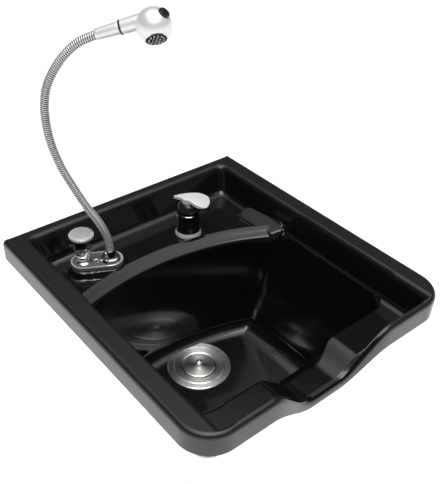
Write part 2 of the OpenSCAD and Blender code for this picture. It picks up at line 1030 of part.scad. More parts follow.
module spray_handle() {
  color("#d8dadd")
    at_handle()
      difference() {
        lathe_x([[32.4, 0], [32.4, 8.5], [32.9, 9], [35.2, 9], [35.2, 9.6], [36, 10], each sleeve_end(0),
                 [71.5, 0]]);
        translate([31, 0, 0])
          rotate([0, 90, 0])
            cylinder(r = 5.06, h = 10.5, $fn = 96);
        translate([31, 0, 0])
          rotate([0, 90, 0])
            cylinder(r = 3, h = 45, $fn = 64);
      }
}

module at_ball() {
  at_handle()
    rotate([head_turn, 0, 0])
      translate(ball_at)
        children();
}

module at_button() {
  at_ball()
    rotate([button_turn - head_turn, 0, 0])
      rotate([0, button_tilt, 0])
        children();
}

module at_nozzle() {
  at_ball()
    rotate([nozzle_turn, 0, 0])
      rotate([0, 180, 0])
        children();
}

module spray_shell() {
  color("#d8dadd")
    difference() {
      at_ball()
        sphere(r = ball_r, $fn = 128);
      at_ball()
        sphere(r = ball_r - 2.5, $fn = 96);
      at_handle()
        lathe_x([[40, 0], [40, 11], each sleeve_end(0.15), [76, 8.75], [76, 0]]);
      at_button()
        cylinder(r = button_r + 0.3, h = 40, $fn = 96);
      at_nozzle()
        cylinder(r = nozzle_r + 1.7, h = 40, $fn = 96);
    }
}

module spray_seam_ring() {
  color("#8d9094")
    at_handle()
      lathe_x([[33, 9.05], [33, 10], [33.5, 10.4], [34.6, 10.4], [35.1, 10], [35.1, 9.05]]);
}

module spray_bezel() {
  color("#d8dadd")
    at_nozzle()
      turned([[nozzle_r + 0.1, 15.5], [nozzle_r + 1.6, 15.5], [nozzle_r + 1.6, 19.2],
              [nozzle_r + 1, 20.2], [nozzle_r + 0.1, 20.2]]);
}

module jet_spots() {
  for (a = [0:30:330])
    rotate([0, 0, a])
      translate([10, 0, 0])
        children();
  for (a = [0:60:300])
    rotate([0, 0, a])
      translate([5.2, 0, 0])
        children();
  children();
}

module spray_nozzle_plate() {
  color("#1a1a1c")
    at_nozzle()
      difference() {
        turned([[0, 15.5], [nozzle_r, 15.5], [nozzle_r, 19.4], [9, 20.4], [0, 20.8]]);
        jet_spots()
          translate([0, 0, 17.9])
            cylinder(r = jet_r + 0.05, h = 6, $fn = 24);
      }
}

module spray_jets() {
  color("#eceef0")
    at_nozzle()
      jet_spots()
        translate([0, 0, 18])
          cylinder(r = jet_r, h = 3.9, $fn = 24);
}

module spray_valve() {
  color("#e8e6df")
    at_button()
      difference() {
        translate([0, 0, -12])
          cylinder(r = 5.5, h = 18, $fn = 96);
        translate([0, 0, -13])
          cylinder(r = 2.06, h = 30, $fn = 64);
      }
}

module spray_button() {
  color("#1a1a1c")
    at_button()
      turned([[0, 18], [button_r, 18], [button_r, 25], [7, 26.6], [4, 27.4], [0, 27.7]]);
}

module spray_plunger() {
  color("#aeb1b5")
    at_button()
      translate([0, 0, -4])
        cylinder(r = 2, h = 22, $fn = 48);
}

module spray_spring() {
  color("#aeb1b5")
    at_button()
      for (z = [7.2:2.4:17])
        translate([0, 0, z])
          rotate_extrude($fn = 48)
            translate([3.6, 0])
              circle(r = 0.45, $fn = 16);
}

// ---- Drain ----
module at_drain() {
  translate([drain_x, -drain_y, floor_z + floor_lift])
    children();
}

module drain_flange() {
  color("#c4c6c8")
    at_drain()
      difference() {
        turned([[0, -wall_t - cup_d], [30, -wall_t - cup_d], [36, -wall_t - cup_d + 5],
                [cup_r, -wall_t - cup_d + 10], [cup_r, 0], [flange_r, 0], [flange_r, 1.2],
                [flange_r - 1.5, 2.4], [cup_r, 2.4], [cup_r - 1, 0.8], [0, 0.8]]);
        turned([[0, -wall_t - cup_d + 3], [29, -wall_t - cup_d + 3],
                [34, -wall_t - cup_d + 7], [cup_r - 2.5, -wall_t - cup_d + 12],
                [cup_r - 2.5, 3], [0, 3]]);
        translate([0, 0, -wall_t - cup_d - 1])
          cylinder(r = 17.5, h = 10, $fn = 96);
      }
}

module drain_gasket() {
  color("#202020")
    at_drain()
      ring(56, cup_r + 0.3, -wall_t - 3, -wall_t - floor_lift - 0.05);
}

module drain_lock_nut() {
  color("#26272a")
    at_drain()
      difference() {
        union() {
          ring(58, cup_r + 0.2, -wall_t - 12, -wall_t - 3);
          for (a = [0:45:315])
            rotate([0, 0, a])
              translate([53, -4, -wall_t - 12])
                cube([8, 8, 9]);
        }
        translate([0, 0, -wall_t - 20])
          cylinder(r = cup_r + 0.2, h = 30, $fn = 128);
      }
}

module drain_tailpiece() {
  color("#c4c6c8")
    at_drain()
      difference() {
        union() {
          translate([0, 0, tail_end])
            cylinder(r = tail_r, h = tail_l, $fn = 96);
          translate([0, 0, tail_end])
            cylinder(r = tail_r - 0.3, h = -tail_end - wall_t - cup_d - 3, $fn = 96);
          translate([0, 0, -wall_t - cup_d - 3])
            cylinder(r = 25, h = 2.8, $fn = 96);
        }
        translate([0, 0, tail_end - 1])
          cylinder(r = tail_r - 1.5, h = 400, $fn = 96);
      }
}

module drain_slip_nut() {
  color("#c4c6c8")
    at_drain()
      difference() {
        translate([0, 0, -wall_t - cup_d - 12])
          cylinder(r = 29, h = 11.9, $fn = 8);
        translate([0, 0, -wall_t - cup_d - 3.2])
          cylinder(r = 25.2, h = 10, $fn = 96);
        translate([0, 0, -wall_t - cup_d - 20])
          cylinder(r = tail_r + 0.2, h = 30, $fn = 96);
      }
}

module basket() {
  color("#c4c6c8")
    at_drain()
      difference() {
        turned([[0, -30], [27, -30], [29.5, -28], [31.8, 0.9], [45, 0.9], [45.2, 2],
                [44, 2.9], [32.6, 2.2], [30.2, 1], [27.9, -27], [26.5, -28.4],
                [0, -28.4]]);
        for (a = [0:30:330])
          rotate([0, 0, a])
            translate([20, 0, -40])
              cylinder(r = 2.6, h = 20, $fn = 32);
        for (a = [0:60:300])
          rotate([0, 0, a])
            translate([11, 0, -40])
              cylinder(r = 2.6, h = 20, $fn = 32);
        translate([0, 0, -40])
          cylinder(r = 3.1, h = 20, $fn = 48);
      }
}

module basket_post() {
  color("#d8dadd")
    at_drain()
      turned([[0, -38], [3, -38], [3, 0.6], [28.6, 0.6], [28.8, 1.4], [27, 2.4], [8, 3],
              [4, 3.6], [3.2, 5], [4.4, 7], [6.4, 8.6], [7, 10.2], [5.6, 12], [2.4, 13],
              [0, 13.1]]);
}

module basket_seal() {
  color("#202020")
    at_drain()
      turned([[3.1, -37], [19, -37], [21, -35], [21, -33], [3.1, -33]]);
}

bowl();
wall_bracket();
bracket_set_screws();
faucet_gasket();
faucet_base_ring();
faucet_body();
faucet_cartridge();
cartridge_yoke();
cartridge_pin();
faucet_bonnet();
lever();
lever_stem();
indicator_hot();
indicator_cold();
lever_grub_screw();
faucet_washer();
faucet_nut();
supply_inlets();
transfer_pipe();
vb_gasket();
vb_base_plate();
vb_body();
vb_float();
vb_seat_seal();
vb_bonnet();
vb_cap();
vb_nuts();
plate_screw();
hose_collar();
hose_outlet();
bridge_pipe();
hose_socket();
hose();
hose_ferrule();
spray_handle();
spray_shell();
spray_seam_ring();
spray_bezel();
spray_nozzle_plate();
spray_jets();
spray_valve();
spray_button();
spray_plunger();
spray_spring();
drain_flange();
drain_gasket();
drain_lock_nut();
drain_tailpiece();
drain_slip_nut();
basket();
basket_post();
basket_seal();
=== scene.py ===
import json
import math

import bpy
import numpy as np
from mathutils import Matrix, Vector


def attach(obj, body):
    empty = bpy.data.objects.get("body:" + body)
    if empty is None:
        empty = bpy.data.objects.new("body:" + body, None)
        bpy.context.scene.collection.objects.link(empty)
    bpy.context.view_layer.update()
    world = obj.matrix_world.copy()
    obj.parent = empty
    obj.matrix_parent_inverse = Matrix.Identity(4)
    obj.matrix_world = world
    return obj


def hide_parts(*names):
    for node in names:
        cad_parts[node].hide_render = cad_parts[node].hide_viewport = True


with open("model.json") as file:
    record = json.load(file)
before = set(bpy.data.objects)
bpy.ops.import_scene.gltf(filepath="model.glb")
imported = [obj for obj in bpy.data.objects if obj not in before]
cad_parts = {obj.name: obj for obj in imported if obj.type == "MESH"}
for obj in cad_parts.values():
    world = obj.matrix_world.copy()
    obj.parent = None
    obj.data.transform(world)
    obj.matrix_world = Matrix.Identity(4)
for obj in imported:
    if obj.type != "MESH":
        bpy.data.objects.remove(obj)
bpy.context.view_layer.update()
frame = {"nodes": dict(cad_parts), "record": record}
scene = bpy.context.scene

# Lengths are in millimetres with the wall at y = 0, except where a name or a comment says metres.
MM = 0.001
RIM_Z = 75.0  # the rim's top over the frame's origin


# ---------------------------------------------------------------- camera
CAMERA_AT = Vector((-0.57421, -0.93362, 0.76050))  # in metres
AZIMUTH, ELEVATION, ROLL = -40.563, 35.984, 2.0
LENS, SENSOR = 52.82, 36
NEAR, FAR = 0.02, 120  # in metres


def view_axes(azimuth, elevation, roll):
    """Right, up and back axes of a camera that looks down at the object."""
    a, e, t = (math.radians(v) for v in (azimuth, elevation, roll))
    back = Vector((math.sin(a) * math.cos(e), -math.cos(a) * math.cos(e), math.sin(e)))
    right = (-back).cross(Vector((0, 0, 1))).normalized()
    up = right.cross(-back)
    return (
        right * math.cos(t) + up * math.sin(t),
        up * math.cos(t) - right * math.sin(t),
        back,
    )


def make_camera():
    data = bpy.data.cameras.new("camera")
    data.lens = LENS
    data.sensor_width = SENSOR
    data.clip_start, data.clip_end = NEAR, FAR
    cam = bpy.data.objects.new("camera", data)
    scene.collection.objects.link(cam)
    place = Matrix(view_axes(AZIMUTH, ELEVATION, ROLL)).transposed().to_4x4()
    place.translation = CAMERA_AT
    cam.matrix_world = place
    scene.camera = cam


make_camera()


# ---------------------------------------------------------------- meshes
def new_piece(name, points, faces, material):
    """A smooth-shaded mesh object from points in millimetres."""
    mesh = bpy.data.meshes.new(name)
    mesh.from_pydata([tuple(float(c) * MM for c in p) for p in points], [], faces)
    mesh.update()
    mesh.shade_smooth()
    obj = bpy.data.objects.new(name, mesh)
    scene.collection.objects.link(obj)
    mesh.materials.append(material)
    return obj


def grid_faces(rows, cols, closed_rows=False, closed_cols=False):
    """Quads of a grid of points that is stored row by row."""
    faces = []
    for i in range(rows if closed_rows else rows - 1):
        for j in range(cols if closed_cols else cols - 1):
            a, b = i * cols + j, i * cols + (j + 1) % cols
            c = (i + 1) % rows * cols
            faces.append((a, b, c + (j + 1) % cols, c + j))
    return faces


# ---------------------------------------------------------------- materials
# Sockets of the colour mix node, whose names are shared with its other data types.
MIX_FIRST, MIX_SECOND, MIX_RESULT = 6, 7, 2


class Nodes:
    """Short names for building a material's node tree."""

    def __init__(self, name):
        self.material = bpy.data.materials.new(name)
        self.material.use_nodes = True
        self.tree = self.material.node_tree
        self.shader = self.tree.nodes["Principled BSDF"]
        self.place = self.add("ShaderNodeTexCoord").outputs["Object"]

    def add(self, kind, **values):
        node = self.tree.nodes.new(kind)
        for key, value in values.items():
            setattr(node, key, value)
        return node

    def link(self, out, into):
        self.tree.links.new(out, into)

    def set(self, **values):
        for key, value in values.items():
            self.shader.inputs[key.replace("_", " ")].default_value = value

    def noise(self, scale, detail=3.0, stretch=None):
        """Noise of a scale per metre, drawn out along an axis by a smaller stretch there."""
        node = self.add("ShaderNodeTexNoise")
        node.inputs["Scale"].default_value = scale
        node.inputs["Detail"].default_value = detail
        source = self.place
        if stretch:
            mapping = self.add("ShaderNodeMapping")
            mapping.inputs["Scale"].default_value = stretch
            self.link(source, mapping.inputs["Vector"])
            source = mapping.outputs["Vector"]
        self.link(source, node.inputs["Vector"])
        return node.outputs["Fac"]

    def between(self, value, low, high, start=0.3, stop=0.7):
        """A value that goes from low to high as the given one goes from start to stop."""
        node = self.add("ShaderNodeMapRange")
        node.inputs["From Min"].default_value = start
        node.inputs["From Max"].default_value = stop
        node.inputs["To Min"].default_value = low
        node.inputs["To Max"].default_value = high
        self.link(value, node.inputs["Value"])
        return node.outputs["Result"]

    def mixed(self, factor, first, second):
        """A blend of two colours."""
        node = self.add("ShaderNodeMix", data_type="RGBA")
        self.link(factor, node.inputs["Factor"])
        node.inputs[MIX_FIRST].default_value = (*first, 1)
        node.inputs[MIX_SECOND].default_value = (*second, 1)
        return node.outputs[MIX_RESULT]

    def added(self, first, second):
        node = self.add("ShaderNodeMath", operation="ADD")
        self.link(first, node.inputs[0])
        self.link(second, node.inputs[1])
        return node.outputs[0]

    def height(self):
        """Height above the frame's origin, in metres."""
        node = self.add("ShaderNodeSeparateXYZ")
        self.link(self.place, node.inputs[0])
        return node.outputs["Z"]

    def bump(self, height, strength, distance):
        node = self.add("ShaderNodeBump")
        node.inputs["Strength"].default_value = strength
        node.inputs["Distance"].default_value = distance
        self.link(height, node.inputs["Height"])
        self.link(node.outputs["Normal"], self.shader.inputs["Normal"])


def surface(name, colour, second, rough, metallic=0.0, grain=400.0, relief=0.00002,
            stretch=None, patch=30.0):
    """A material with patches of two colours, and a fine grain in its roughness and relief."""
    n = Nodes(name)
    n.set(Metallic=metallic)
    patches = n.noise(patch, 4.0)
    fine = n.noise(grain, 2.0, stretch)
    n.link(n.mixed(n.between(patches, 0, 1), colour, second), n.shader.inputs["Base Color"])
    n.link(n.between(fine, rough[0], rough[1]), n.shader.inputs["Roughness"])
    n.bump(fine, 0.4, relief)
    return n.material


# Heights in metres where the polish ends and where the wear is full.
POLISH_TOP, WEAR_FULL = 0.058, 0.074


def moulded_gloss():
    """Black moulding: polished below, worn dull on the rim, with haze and fine scratches."""
    n = Nodes("gloss_moulding")
    n.set(IOR=1.6)
    haze = n.noise(9.0, 5.0)
    scratches = n.noise(60.0, 6.0, (1.0, 14.0, 1.0))
    n.link(n.mixed(n.between(haze, 0, 1), (0.004, 0.004, 0.0045), (0.006, 0.006, 0.0065)),
           n.shader.inputs["Base Color"])
    handled = n.between(n.height(), 0.09, 0.40, POLISH_TOP, WEAR_FULL)
    worn = n.between(scratches, -0.02, 0.06)
    n.link(n.added(handled, worn), n.shader.inputs["Roughness"])
    n.bump(n.noise(45.0, 2.0), 0.10, 0.0002)
    return n.material


def brushed_disc():
    """Steel turned in rings, whose highlights fan out from the middle."""
    n = Nodes("turned_steel")
    n.set(Metallic=1.0, Anisotropic=0.85, Anisotropic_Rotation=0.25)
    tangent = n.add("ShaderNodeTangent", direction_type="RADIAL", axis="Z")
    n.link(tangent.outputs["Tangent"], n.shader.inputs["Tangent"])
    n.link(n.mixed(n.between(n.noise(90.0), 0, 1), (0.68, 0.67, 0.65), (0.88, 0.87, 0.85)),
           n.shader.inputs["Base Color"])
    n.link(n.between(n.noise(700.0, 2.0), 0.26, 0.38), n.shader.inputs["Roughness"])
    return n.material


def wound_strip():
    """Bright steel strip, with painted shade darkening the seams between the turns to near black."""
    n = Nodes("wound_strip")
    n.set(Metallic=0.5)
    # Painted shade: the seam mask turns the grooves near black, standing in for the shade that falls
    # in them.
    seam_shade = n.add("ShaderNodeAttribute", attribute_name="seam").outputs["Fac"]
    n.link(n.mixed(seam_shade, (0.95, 0.95, 0.96), (0.008, 0.008, 0.009)),
           n.shader.inputs["Base Color"])
    n.link(n.between(n.noise(500.0), 0.2, 0.32), n.shader.inputs["Roughness"])
    return n.material


def painted_light_by_height(name, metallic, level, low, high, low_rough):
    """One colour below a height in metres and another above it, painting a highlight or shade onto
    one chrome part, with a satin skin above it.
    """
    n = Nodes(name)
    n.set(Metallic=metallic)
    top = n.between(n.height(), 0, 1, level, level + TONE_EDGE)
    n.link(n.mixed(top, low, high), n.shader.inputs["Base Color"])
    skin = n.between(top, low_rough, SATIN_ROUGH, 0, 1)
    n.link(n.added(skin, n.between(n.noise(500.0), -0.02, 0.04)), n.shader.inputs["Roughness"])
    return n.material


# Heights in metres where the lever's leaf, the plate's raised rim and the cap's face begin.
LEAF_FOOT = 0.092
PLATE_RIM = 0.0426
CAP_FACE = 0.0983
TONE_EDGE = 0.0005
SATIN_ROUGH = 0.30
# Colours of painted light: a near-white painted highlight, near black for the lever hub's painted
# dark reflection, smoke grey for the plate's painted shade below its rim, pale grey for the cap's
# face.
PAINTED_HIGHLIGHT = (0.97, 0.98, 1.0)
NEAR_BLACK = (0.02, 0.02, 0.022)
PAINTED_PLATE_SHADE = (0.32, 0.32, 0.33)
PALE_GREY = (0.80, 0.80, 0.79)

finish = {
    "black_abs": moulded_gloss(),
    "chrome": surface("chrome", (0.83, 0.84, 0.85), (0.88, 0.88, 0.89), (0.03, 0.07), 1.0,
                      900.0, 0.000004),
    "dark_chrome": surface("dark_chrome", (0.34, 0.34, 0.36), (0.42, 0.42, 0.43),
                           (0.06, 0.12), 1.0, 900.0, 0.000006),
    "brushed_steel": brushed_disc(),
    "hose_steel": wound_strip(),
    "zinc_steel": surface("zinc_steel", (0.50, 0.52, 0.55), (0.66, 0.67, 0.66),
                          (0.30, 0.45), 1.0, 160.0, 0.00003, patch=60.0),
    "steel": surface("steel", (0.52, 0.53, 0.55), (0.62, 0.62, 0.63), (0.2, 0.32), 1.0,
                     500.0, stretch=(1, 1, 12)),
    "brass": surface("brass", (0.66, 0.48, 0.20), (0.76, 0.60, 0.30), (0.22, 0.36), 1.0,
                     350.0, patch=90.0),
    "copper": surface("copper", (0.66, 0.38, 0.22), (0.78, 0.50, 0.34), (0.2, 0.36), 1.0,
                      250.0, stretch=(1, 1, 6), patch=70.0),
    "black_rubber": surface("black_rubber", (0.018, 0.018, 0.019), (0.035, 0.035, 0.036),
                            (0.55, 0.75), 0.0, 600.0, 0.00006),
    "black_plastic": surface("black_plastic", (0.010, 0.010, 0.011), (0.022, 0.022, 0.024),
                             (0.12, 0.22), 0.0, 700.0, 0.00001),
    "white_plastic": surface("white_plastic", (0.76, 0.75, 0.71), (0.84, 0.83, 0.80),
                             (0.3, 0.42), 0.0, 600.0, 0.00003),
    "red_plastic": surface("red_plastic", (0.58, 0.05, 0.06), (0.68, 0.09, 0.10),
                           (0.15, 0.25), 0.0, 800.0, 0.00001),
    "blue_plastic": surface("blue_plastic", (0.04, 0.12, 0.5), (0.07, 0.18, 0.6),
                            (0.15, 0.25), 0.0, 800.0, 0.00001),
}
slot_of = {s["node"]: s["material_slot"] for s in frame["record"]["subparts"]}
# Painted light: a near-white, half-diffuse copy of chrome that paints the spray head, hose ferrule
# and faucet base ring bright as if lit, with a satin roughness.
satin_painted_bright = surface("satin_chrome_painted_bright", (0.93, 0.94, 0.95), (0.97, 0.97, 0.98), (0.30, 0.38), 0.45,
                700.0, 0.000006)
# Painted light on the lever and bonnet: near black below the leaf as a painted dark reflection, and a
# painted highlight on the leaf.
lever_painted_shade_and_highlight = painted_light_by_height("lever_painted_light", 0.25, LEAF_FOOT, NEAR_BLACK, PAINTED_HIGHLIGHT, 0.05)
# Painted light on the breaker's base plate: painted shade below, and a painted highlight on its
# raised rim.
plate_painted_rim_highlight = painted_light_by_height("plate_painted_rim_highlight", 0.55, PLATE_RIM, PAINTED_PLATE_SHADE, PAINTED_HIGHLIGHT, 0.08)
# Painted highlight: the cap's side is a bright rim ring under a pale grey face.
brushed_cap_painted_rim_highlight = painted_light_by_height("brushed_cap_painted_rim_highlight", 0.5, CAP_FACE, PAINTED_HIGHLIGHT, PALE_GREY, 0.25)
# Finishes by node. Most are lit and shaded copies of chrome that paint light, and the spray seam ring
# keeps its own black plastic.
own_finish_and_painted_light_by_node = {
    "spray_shell": satin_painted_bright,
    "spray_handle": satin_painted_bright,
    "hose_ferrule": satin_painted_bright,
    "faucet_base_ring": satin_painted_bright,
    # Painted shade: the darker chrome stands in for the black bowl that the faucet body reflects.
    "faucet_body": finish["dark_chrome"],
    "faucet_bonnet": lever_painted_shade_and_highlight,
    "lever": lever_painted_shade_and_highlight,
    "vb_base_plate": plate_painted_rim_highlight,
    "vb_cap": brushed_cap_painted_rim_highlight,
    "spray_seam_ring": finish["black_plastic"],
}
for node, obj in frame["nodes"].items():
    obj.data.materials.clear()
    obj.data.materials.append(own_finish_and_painted_light_by_node.get(node, finish[slot_of[node]]))


# ---------------------------------------------------------------- hose
ARCH_AT = Vector((-106.03, -109.19, RIM_Z))
ARCH_TURN = math.radians(-40.5)
HOSE_R = 6.7
SEAM_PITCH = 3.2
SEAM_DEPTH = 1.0
SEAM_HALF = 0.36  # share of a turn from the seam's middle to its edge
SEAM_POWER = 0.4
STRIP_CROWN = 0.25
RINGS_A_TURN = 8
HOSE_SIDES = 20
ROUTE_STEPS = 600
# Reach from the outlet and height over the rim.
HOSE_ROUTE = np.array([
    (0, -21.5), (0, -4), (-4, 17), (-13, 39), (-26, 61), (-38.5, 84), (-50, 108),
    (-61, 132.5), (-69.5, 158), (-75.5, 184.5), (-78, 212), (-77, 240), (-71, 267.5),
    (-58.5, 292.5), (-41.5, 315.5), (-20, 334.5), (6, 346.7)])


def route_points(count):
    """Points along the smooth curve through HOSE_ROUTE, evenly spaced in its parameter."""
    last = len(HOSE_ROUTE) - 1
    made = []
    for u in np.linspace(0, last, count):
        i = min(last - 1, int(u))
        t = u - i
        a, b = HOSE_ROUTE[max(0, i - 1)], HOSE_ROUTE[i]
        c, d = HOSE_ROUTE[i + 1], HOSE_ROUTE[min(last, i + 2)]
        made.append(0.5 * (2 * b + (c - a) * t + (2 * a - 5 * b + 4 * c - d) * t * t
                           + (3 * b - a - 3 * c + d) * t ** 3))
    return np.array(made)


def at_arch(reach, side, height):
    """A point in the hose's upright plane, in the row frame in millimetres."""
    across = Vector((math.cos(ARCH_TURN), math.sin(ARCH_TURN), 0))
    beside = Vector((-math.sin(ARCH_TURN), math.cos(ARCH_TURN), 0))
    return ARCH_AT + across * float(reach) + beside * float(side) + Vector((0, 0, float(height)))


def even_line(points, step):
    """The same line with points a fixed distance apart, and its length."""
    far = np.concatenate([[0], np.cumsum(np.linalg.norm(np.diff(points, axis=0), axis=1))])
    want = np.linspace(0, far[-1], int(round(far[-1] / step)) + 1)
    return np.column_stack([np.interp(want, far, points[:, k]) for k in range(2)]), want


def make_hose():
    """The wound hose: a tube whose radius dips along one helical seam."""
    line, far = even_line(route_points(ROUTE_STEPS), SEAM_PITCH / RINGS_A_TURN)
    heading = np.gradient(line, axis=0)
    heading /= np.linalg.norm(heading, axis=1)[:, None]
    points, seam = [], []
    for (x, z), (dx, dz), s in zip(line, heading, far):
        for j in range(HOSE_SIDES):
            a = 2 * math.pi * j / HOSE_SIDES
            phase = (s / SEAM_PITCH - j / HOSE_SIDES) % 1.0
            cut = max(0.0, 1 - abs(phase - 0.5) / SEAM_HALF) ** SEAM_POWER
            r = HOSE_R - SEAM_DEPTH * cut - STRIP_CROWN * (2 * phase - 1) ** 2
            points.append(at_arch(x - dz * r * math.cos(a), r * math.sin(a),
                                  z + dx * r * math.cos(a)))
            seam.append(cut)
    faces = grid_faces(len(line), HOSE_SIDES, closed_cols=True)
    faces.append(tuple(range(HOSE_SIDES)))
    faces.append(tuple(reversed(range(len(points) - HOSE_SIDES, len(points)))))
    hose = new_piece("wound_hose", points, faces, finish["hose_steel"])
    # The seam mask also drives the hose material's painted shade in the grooves.
    mark = hose.data.attributes.new("seam", "FLOAT", "POINT")
    mark.data.foreach_set("value", np.array(seam, np.float32))
    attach(hose, "hose_arm")
    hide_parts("hose")


make_hose()


# ---------------------------------------------------------------- bowl
# Heights in this section are measured from the rim's top.
HALF_W, FRONT_Y, BACK_Y = 240.0, -525.0, -1.0
CORNER_R = 50.0
EDGE_R, BACK_EDGE_R = 8.0, 1.5
SKIRT_H = 37.0
NECK_SKIRT = 41.0  # how much lower the skirt's foot hangs at the neck recess
NECK_PULL = 10.0  # how far the front draws back at the neck recess
WALL_T = 4.0
OPEN_HALF, OPEN_FRONT, BACK_STRIP = 205.0, 462.0, 20.0
SIDE_LEAN, FRONT_LEAN, ARC_LEAN, BACK_LEAN = 0.29, 0.242, 0.05, 0.44
FLOOR, DECK = -250.0, -50.0
RIDGE_FRONT, RIDGE_H, RIDGE_W, RIDGE_FALL = 0.5, 10.0, 28.0, 6.0
LEDGE_LOW, LEDGE_HIGH = 3.0, 12.0
LEDGE_X, LEDGE_W, LEDGE_FALL = 175.5, 30.0, 5.0
LEDGE_ENDS = np.array((LEDGE_X, -131.0)), np.array((LEDGE_X + 6, -200.0))
PAD_R, PAD_H, PAD_FALL = 27.0, 12.0, 9.0
ARC_X, ARC_Y, ARC_R = -45.0, -603.0, 450.0
NECK_X, NECK_HALF, NECK_FLAT, NECK_DROP = -8.0, 115.0, 26.0, 63.0
NECK_FROM_Y = -300.0
DRAIN = np.array((-8.0, -226.0))
DRAIN_HOLE = 47.5
VB = np.array((-144.0, -89.0))
OUTLET = np.array((ARCH_AT.x, ARCH_AT.y))
# Radii of the moulding's inner corners.
BASIN_SIDE_R, BASIN_BACK_R, BASIN_FLOOR_R = 28, 14, 26
PAN_SIDE_R, PAN_FLOOR_R = 12, 9
CREST_R, RIM_R, NECK_RIM_R = 5, 6, 45
# Sampling of the surface.
EDGE_ANGLES = (15, 30, 45, 60, 75, 90)
SIDE_POINTS, CORNER_POINTS, FRONT_POINTS, BACK_POINTS = 100, 22, 110, 96
DENSE_POINTS, ROW_POINTS = 900, 200
INNER_STEP = 7
HALVINGS = 24
BEND_WEIGHT = 30
SLOPE_STEP = 0.05


def smooth(t):
    t = np.clip(t, 0, 1)
    return t * t * (3 - 2 * t)


def dip(x):
    """Share of the neck recess's full depth at a sideways position."""
    return smooth((NECK_HALF - np.abs(x - NECK_X)) / (NECK_HALF - NECK_FLAT))


def both(a, b, r):
    """The space inside both fields, with the corner between them rounded to radius r."""
    return (np.minimum(-r, np.maximum(a, b))
            + np.hypot(np.maximum(r + a, 0), np.maximum(r + b, 0)))


def either(a, b, r):
    """The space inside either field, with the edge between them rounded to radius r."""
    return (np.maximum(r, np.minimum(a, b))
            - np.hypot(np.maximum(r - a, 0), np.maximum(r - b, 0)))


def capsule(x, y, a, b, r):
    """Distance in plan from an obround with ends at a and b."""
    d = b - a
    t = np.clip(((x - a[0]) * d[0] + (y - a[1]) * d[1]) / (d @ d), 0, 1)
    return np.hypot(x - a[0] - t * d[0], y - a[1] - t * d[1]) - r


def bumps(x, y):
    """Height of what stands on the deck: the ridge, its ledge and the fitting pad."""
    arc = np.hypot(x - ARC_X, y - ARC_Y) - ARC_R
    crest = RIDGE_FRONT + (RIDGE_H - RIDGE_FRONT) * smooth(arc / RIDGE_W)
    ridge = crest * smooth(0.5 + (RIDGE_W - arc) / RIDGE_FALL)
    rise = LEDGE_LOW + (LEDGE_HIGH - LEDGE_LOW) * smooth((x - LEDGE_X + LEDGE_W / 2) / LEDGE_W)
    ledge = rise * smooth(0.5 - capsule(x, y, *LEDGE_ENDS, LEDGE_W / 2) / LEDGE_FALL)
    pad = PAD_H * smooth(0.5 - capsule(x, y, VB, OUTLET, PAD_R) / PAD_FALL)
    return np.maximum(np.maximum(ridge, ledge), pad)


def air(x, y, z, bump):
    """Below 0 in the open space over the bowl, above 0 in the moulding."""
    sides = (np.abs(x) - OPEN_HALF - SIDE_LEAN * z) / math.hypot(1, SIDE_LEAN)
    front = (-OPEN_FRONT - FRONT_LEAN * z - y) / math.hypot(1, FRONT_LEAN)
    arc = np.hypot(x - ARC_X, y - ARC_Y) - ARC_R - ARC_LEAN * (z - DECK)
    back = (y + BACK_STRIP - BACK_LEAN * z) / math.hypot(1, BACK_LEAN)
    shaft = both(both(sides, front, BASIN_SIDE_R), arc, BASIN_BACK_R)
    basin = both(shaft, FLOOR - z, BASIN_FLOOR_R)
    pan = both(both(sides, back, PAN_SIDE_R), DECK + bump - z, PAN_FLOOR_R)
    share = np.where(y < NECK_FROM_Y, dip(x), 0)
    top = -NECK_DROP * share - z
    return either(top, either(pan, basin, CREST_R), RIM_R + (NECK_RIM_R - RIM_R) * share)


def height(x, y):
    """Height of the moulding's upper surface, found by halving the range it lies in."""
    low, high = np.full_like(x, FLOOR - 2), np.full_like(x, 2.0)
    bump = bumps(x, y)
    for _ in range(HALVINGS):
        middle = (low + high) / 2
        solid = air(x, y, middle, bump) > 0
        low, high = np.where(solid, middle, low), np.where(solid, high, middle)
    return (low + high) / 2


def outline():
    """Points round the skirt with their outward directions and edge radii."""
    made = []
    side = np.linspace(BACK_Y, FRONT_Y + CORNER_R, SIDE_POINTS)
    turn = np.radians(np.linspace(0, 90, CORNER_POINTS))[1:-1]
    front = np.linspace(-HALF_W + CORNER_R, HALF_W - CORNER_R, FRONT_POINTS)
    back = np.linspace(HALF_W - EDGE_R - 4, -HALF_W + EDGE_R + 4, BACK_POINTS)
    for y in side:
        made.append((-HALF_W, y, -1, 0, EDGE_R))
    for a in turn:
        made.append((-HALF_W + CORNER_R - CORNER_R * math.cos(a),
                     FRONT_Y + CORNER_R - CORNER_R * math.sin(a),
                     -math.cos(a), -math.sin(a), EDGE_R))
    for x in front:
        made.append((x, FRONT_Y + NECK_PULL * float(dip(x)), 0, -1, EDGE_R))
    for a in turn[::-1]:
        made.append((HALF_W - CORNER_R + CORNER_R * math.cos(a),
                     FRONT_Y + CORNER_R - CORNER_R * math.sin(a),
                     math.cos(a), -math.sin(a), EDGE_R))
    for y in side[::-1]:
        made.append((HALF_W, y, 1, 0, EDGE_R))
    for x in back:
        made.append((x, BACK_Y, 0, 1, BACK_EDGE_R))
    return np.array(made, float)


def slopes(x, y, z):
    """Unit outward directions of the moulding's upper surface."""
    step = SLOPE_STEP
    bump = [bumps(x + dx, y + dy) for dx, dy in ((step, 0), (-step, 0), (0, step), (0, -step))]
    level = bumps(x, y)
    grad = np.stack([
        air(x + step, y, z, bump[0]) - air(x - step, y, z, bump[1]),
        air(x, y + step, z, bump[2]) - air(x, y - step, z, bump[3]),
        air(x, y, z + step, level) - air(x, y, z - step, level)], axis=-1)
    return -grad / np.linalg.norm(grad, axis=-1, keepdims=True)


